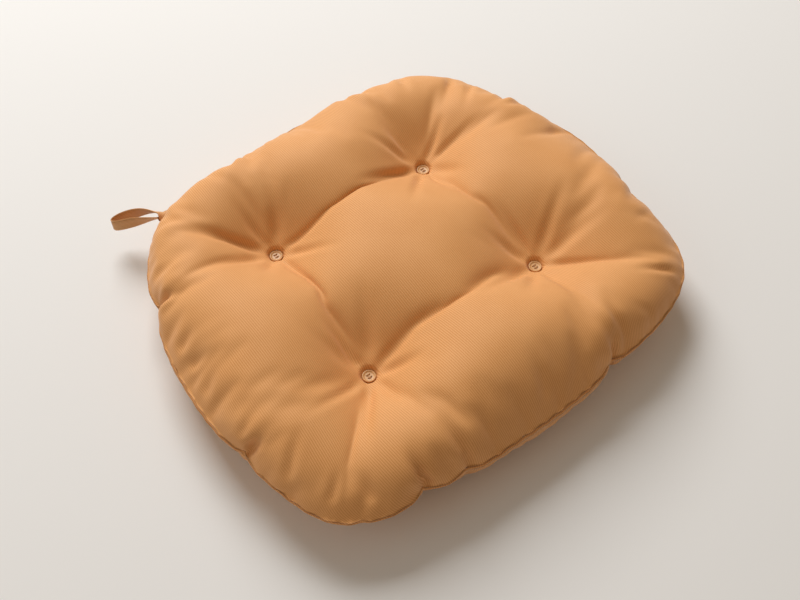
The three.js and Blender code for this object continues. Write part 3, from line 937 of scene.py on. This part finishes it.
def spun_thread(name, colour, shade):
    """Spun polyester sewing thread: matt and slightly hairy, painted lighter on the high places of its hairy
    relief than in the low ones, as painted shade.
    """
    material, tree, shader = new_material(name, colour, 0.75, Sheen_Weight=0.2, Specular_IOR_Level=0.3)
    place = {"Vector": add_node(tree, "ShaderNodeTexCoord").outputs["Object"]}
    hairs = add_node(tree, "ShaderNodeTexNoise", {},
                     {"Scale": 1 / (0.5 * MM), "Detail": 4.0}, place).outputs["Fac"]
    # painted shade: the colour follows the hairs' relief, darker in its low places
    dye_shade_and_relief(tree, shader, hairs, (shade, colour), hairs, (0.4, 0.1 * MM))
    return material


def matt_paint(name, colour):
    """Matt emulsion on a board: near white, with a trace of roller texture."""
    material, tree, shader = new_material(name, colour, 0.9, Specular_IOR_Level=0.2)
    place = {"Vector": add_node(tree, "ShaderNodeTexCoord").outputs["Object"]}
    stipple = add_node(tree, "ShaderNodeTexNoise", {}, {"Scale": 1 / (4 * MM), "Detail": 2.0}, place)
    bump = add_node(tree, "ShaderNodeBump", {}, {"Strength": 0.05, "Distance": 0.1 * MM},
                    {"Height": stipple.outputs["Fac"]})
    tree.links.new(bump.outputs["Normal"], shader.inputs["Normal"])
    return material


# ---- Settings -----------------------------------------------------------------------------------------

def metres(name, description, default):
    return bpy.props.FloatProperty(name=name, description=description, default=default, unit="LENGTH",
                                   precision=5)


def amount(name, description, default):
    return bpy.props.FloatProperty(name=name, description=description, default=default)


def tally(name, description, default):
    return bpy.props.IntProperty(name=name, description=description, default=default, min=0)


def swatch(name, description, code):
    return bpy.props.FloatVectorProperty(name=name, description=description, default=hex_colour(code),
                                         size=4, min=0, max=1, subtype="COLOR")


class SeatPadCase(bpy.types.PropertyGroup):
    """Sizes of the sewn and stuffed case."""
    seam_ease: metres("Seam ease", "How far outside the finished seam the panels are cut", 33 * MM)
    tuft_ease: amount("Tuft ease", "Spacing of the tuft marks on the cut, over that on the pad", 1.09)
    disc_radius: metres("Disc radius", "Cloth that each button holds flat", 5.9 * MM)
    thread_grid: metres("Cloth grid", "Spacing of the points that the cloth is worked out at", 6 * MM)
    filling_pressure: amount("Filling pressure", "Push of the filling on the cloth, in pascals", 150.0)
    drawing_frames: tally("Drawing in", "Steps over which the tufts and the seam are drawn in", 16)
    settling_frames: tally("Settling", "Steps over which the cloth comes to rest", 36)
    easing_passes: tally("Easing", "How much the filling rounds the valleys", 12)
    crease_kept: amount("Creases kept", "Share of the sharp creases that stay", 0.45)
    lip_radius: metres("Lip radius", "Roll of each panel's edge at the seam", 1.1 * MM)
    seam_allowance: metres("Seam allowance", "Cloth turned in at the seam", 9 * MM)
    cloth_thickness: metres("Cloth thickness", "Thickness of the cover cloth", 0.6 * MM)
    stitch_pitch: metres("Stitch length", "Length of one stitch of the seam", 3.2 * MM)


class SeatPadTrims(bpy.types.PropertyGroup):
    """Sizes of the buttons, lacings and tie loops."""
    button_rim: metres("Button rim", "Width of a button's raised rim", 1.2 * MM)
    button_dish: metres("Button dish", "Depth of a button's dish", 0.8 * MM)
    hole_spacing: metres("Hole spacing", "Between the middles of neighbouring holes", 2.8 * MM)
    hole_radius: metres("Hole radius", "Radius of a button's hole", 0.65 * MM)
    thread_radius: metres("Lacing radius", "Radius of the tufting thread", 0.33 * MM)
    strip_width: metres("Strip width", "Width of the folded tie strip", 14 * MM)
    strip_thickness: metres("Strip thickness", "Thickness of the folded tie strip", 1.3 * MM)
    strip_tail: metres("Strip tail", "Length of the strip inside the seam", 6 * MM)
    strip_steps: tally("Strip steps", "Rows of points along a strip", 90)
    strip_stitch: metres("Strip stitch", "Length of one stitch of the strip", 2.6 * MM)


class SeatPadCloth(bpy.types.PropertyGroup):
    """Colours and weave."""
    light: swatch("Cloth", "Face of the cover cloth", "#E7AA6C")
    # painted shade: the cloth shade swatch is laid in the grooves between the threads, and the cloth swatch
    # on their crowns
    shade: swatch("Cloth shade", "Between the threads of the cover cloth", "#CD8A45")
    strip_light: swatch("Strip", "Face of the tie strip", "#DBA56C")
    # painted shade: the strip shade swatch is laid in the grooves between the strip's threads
    strip_shade: swatch("Strip shade", "Between the threads of the tie strip", "#B9834C")
    wadding: swatch("Wadding", "The filling's fibre", "#F4F2EC")
    # painted shade: the wadding shade swatch is laid between the filling's clumps
    wadding_shade: swatch("Wadding shade", "Between the filling's clumps", "#DAD6CC")
    button: swatch("Button", "Button stock", "#DDB07A")
    button_shade: swatch("Button cloud", "Cloud in the button stock", "#CB965C")
    thread: swatch("Thread", "Sewing and tufting thread", "#D2A06A")
    # painted shade: the thread shade swatch is laid in the low places of the thread's hairy relief
    thread_shade: swatch("Thread shade", "Between the thread's plies", "#A06F40")
    rib_spacing: metres("Rib spacing", "Between the ribs of the weave, as drawn", 1.8 * MM)
    rib_height: metres("Rib height", "Height of the ribs, as drawn", 0.28 * MM)
    slub_size: metres("Slub size", "Size of the uneven places in the yarn", 1.4 * MM)
    dye_patch: metres("Dye patch", "Size of the paler and darker patches", 40 * MM)
    sheen: amount("Sheen", "Bloom of loose fibre", 0.2)


class SeatPadStage(bpy.types.PropertyGroup):
    """Floor, lights and camera."""
    floor: swatch("Floor", "Colour of the floor", "#EAEAE9")
    room: swatch("Room", "Colour of the light that the room gives back", "#FFECD4")
    azimuth: bpy.props.FloatProperty(name="Azimuth", description="Camera's bearing, from behind +Y",
                                     default=math.radians(-37.62), subtype="ANGLE")
    elevation: bpy.props.FloatProperty(name="Elevation", description="Camera's angle above the floor",
                                       default=math.radians(55.6), subtype="ANGLE")
    distance: metres("Distance", "Camera to the point it looks at", 899 * MM)
    aim_x: metres("Aim across", "Point that the camera looks at, across", -8.9 * MM)
    aim_y: metres("Aim along", "Point that the camera looks at, along", -5.8 * MM)
    lens: amount("Lens", "Focal length in millimetres, on a 36 mm sensor", 45.17)
    key_power: bpy.props.FloatProperty(name="Key light", description="Power of the window light",
                                       default=88.0, unit="POWER")
    sky: amount("Sky", "Brightness of the room's own light", 0.29)


# ---- Operators ----------------------------------------------------------------------------------------

class SEATPAD_OT_case(bpy.types.Operator):
    """Cuts, sews, tufts and fills the case, and makes its two covers, its filling and its seam thread"""
    bl_idname = "seat_pad.case"
    bl_label = "Case and filling"

    def execute(self, context):
        sizes, cloth = context.scene.seat_pad_case, context.scene.seat_pad_cloth
        panel = Panel(sizes)
        points, faces = stuffed_case(panel, sizes)
        lower = case_numbering(panel)
        twill = cotton_twill("cotton twill, piece-dyed", cloth, cloth.light, cloth.shade)
        top = sewn_panel("top_cover_cloth", panel, points[:len(lower)], 1, sizes)
        bottom = sewn_panel("bottom_cover_cloth", panel, points[lower], -1, sizes)
        finish_piece(top, "pad", "cover_fabric", twill, "top_cover")
        finish_piece(bottom, "pad", "cover_fabric", twill, "bottom_cover")
        filling = wadding(panel, points, faces, sizes)
        fibre = polyester_wadding("carded polyester wadding", cloth.wadding, cloth.wadding_shade)
        finish_piece(filling, "pad", "filling", fibre, "fibre_filling")
        ring = points[:panel.edge]
        out = np.c_[outward(ring[:, :2]), np.zeros(panel.edge)]
        path = stitch_line(ring, out, sizes.stitch_pitch, 0.35 * MM, 0.45 * MM, 2.0 * MM)
        thread = piece_from("seam_stitching", *tube(path, 0.28 * MM, 6, closed=True))
        spun = spun_thread("spun polyester thread, seam", cloth.thread, cloth.thread_shade)
        finish_piece(thread, "pad", "thread", spun, "seam_thread")
        return {"FINISHED"}


class SEATPAD_OT_buttons(bpy.types.Operator):
    """Makes the eight four-hole buttons"""
    bl_idname = "seat_pad.buttons"
    bl_label = "Buttons"

    def execute(self, context):
        sizes, cloth = context.scene.seat_pad_trims, context.scene.seat_pad_cloth
        stock = moulded_polyester("cast polyester, dyed and tumbled", cloth.button, cloth.button_shade)
        blank = button_mesh(sizes)
        for face in ("top", "bottom"):
            for name in TUFTS:
                node = f"button_{face}_{name}"
                low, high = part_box(node)
                button = bpy.data.objects.new(f"{face}_button_{name}", blank.copy())
                context.scene.collection.objects.link(button)
                middle = (low + high) / 2
                button.location = (middle.x, middle.y, low.z if face == "top" else high.z)
                button.rotation_euler.x = 0 if face == "top" else math.pi
                finish_piece(button, "pad", "button", stock, node)
        bpy.data.meshes.remove(blank)
        return {"FINISHED"}


class SEATPAD_OT_lacings(bpy.types.Operator):
    """Laces each top button to the one under it"""
    bl_idname = "seat_pad.lacings"
    bl_label = "Lacings"

    def execute(self, context):
        sizes, cloth = context.scene.seat_pad_trims, context.scene.seat_pad_cloth
        thread = spun_thread("spun polyester thread, tufting", cloth.thread, cloth.thread_shade)
        for name, place in zip(TUFTS, TUFT_PLACES):
            piece = piece_from(f"lacing_{name}", *lacing(place, sizes))
            finish_piece(piece, "pad", "thread", thread, f"tuft_thread_{name}")
        return {"FINISHED"}


class SEATPAD_OT_tie_loops(bpy.types.Operator):
    """Folds, stitches and lays the two tie loops"""
    bl_idname = "seat_pad.tie_loops"
    bl_label = "Tie loops"

    def execute(self, context):
        sizes, cloth = context.scene.seat_pad_trims, context.scene.seat_pad_cloth
        tape = cotton_twill("cotton twill, folded strip", cloth, cloth.strip_light, cloth.strip_shade)
        thread = spun_thread("spun polyester thread, strip", cloth.thread, cloth.thread_shade)
        for side in LOOP_SIDES:
            strip, *lie = tie_strip(side, sizes)
            stitches = strip_stitches(side, *lie, sizes)
            strip.data.materials.append(tape)
            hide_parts(f"tie_loop_{side}")
            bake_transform(strip)
            finish_piece(stitches, f"loop_{side}", "thread", thread)
        return {"FINISHED"}


class SEATPAD_OT_stage(bpy.types.Operator):
    """Sets out the pale floor, the soft lights and the camera"""
    bl_idname = "seat_pad.stage"
    bl_label = "Stage"

    def execute(self, context):
        scene, stage = context.scene, context.scene.seat_pad_stage
        half = 4.0
        floor = piece_from("floor", [(-half, -half, 0), (half, -half, 0), (half, half, 0), (-half, half, 0)],
                           [(0, 1, 2, 3)])
        floor.data.materials.append(matt_paint("matt emulsion", stage.floor))

        # each lamp's way from the pad, its distance and size in metres, and its power
        lamps = (("window", (0.20, 0.72, 0.66), 3.0, 1.7, stage.key_power),
                 ("reflector", (-0.9, 0.3, 0.6), 3.0, 2.0, 0.1 * stage.key_power))
        for name, direction, distance, size, power in lamps:
            lamp = bpy.data.lights.new(name, "AREA")
            lamp.energy = power
            lamp.size = size
            holder = bpy.data.objects.new(name, lamp)
            scene.collection.objects.link(holder)
            way = Vector(direction).normalized()
            holder.location = way * distance
            holder.rotation_euler = way.to_track_quat("Z", "Y").to_euler()

        world = bpy.data.worlds.new("soft room")
        world.use_nodes = True
        world.node_tree.nodes["Background"].inputs["Color"].default_value = stage.room
        world.node_tree.nodes["Background"].inputs["Strength"].default_value = stage.sky
        scene.world = world
        scene.view_settings.view_transform = "Standard"

        lens = bpy.data.cameras.new("camera")
        lens.sensor_width = 36
        lens.lens = stage.lens
        lens.clip_start = 0.01
        camera = bpy.data.objects.new("camera", lens)
        scene.collection.objects.link(camera)
        flat = math.cos(stage.elevation)
        back = Vector((math.sin(stage.azimuth) * flat, -math.cos(stage.azimuth) * flat,
                       math.sin(stage.elevation)))
        camera.location = Vector((stage.aim_x, stage.aim_y, 0)) + back * stage.distance
        camera.rotation_euler = back.to_track_quat("Z", "Y").to_euler()
        scene.camera = camera
        return {"FINISHED"}


OPERATORS = (SEATPAD_OT_case, SEATPAD_OT_buttons, SEATPAD_OT_lacings, SEATPAD_OT_tie_loops, SEATPAD_OT_stage)
SETTINGS = {
    "seat_pad_case": SeatPadCase,
    "seat_pad_trims": SeatPadTrims,
    "seat_pad_cloth": SeatPadCloth,
    "seat_pad_stage": SeatPadStage,
}


class SEATPAD_PT_tools(bpy.types.Panel):
    """Lists the seat pad's steps and settings"""
    bl_label = "Seat pad"
    bl_idname = "SEATPAD_PT_tools"
    bl_space_type = "VIEW_3D"
    bl_region_type = "UI"
    bl_category = "Seat pad"

    def draw(self, context):
        for operator in OPERATORS:
            self.layout.operator(operator.bl_idname)
        for name, settings in SETTINGS.items():
            box = self.layout.box()
            box.label(text=settings.__doc__)
            for setting in settings.__annotations__:
                box.prop(getattr(context.scene, name), setting)


def register():
    for name, settings in SETTINGS.items():
        bpy.utils.register_class(settings)
        setattr(bpy.types.Scene, name, bpy.props.PointerProperty(type=settings))
    for made in (*OPERATORS, SEATPAD_PT_tools):
        bpy.utils.register_class(made)


def unregister():
    for made in (SEATPAD_PT_tools, *reversed(OPERATORS)):
        bpy.utils.unregister_class(made)
    for name, settings in SETTINGS.items():
        delattr(bpy.types.Scene, name)
        bpy.utils.unregister_class(settings)


def main():
    register()
    for operator in OPERATORS:
        group, name = operator.bl_idname.split(".")
        getattr(getattr(bpy.ops, group), name)()


if __name__ == "__main__":
    main()
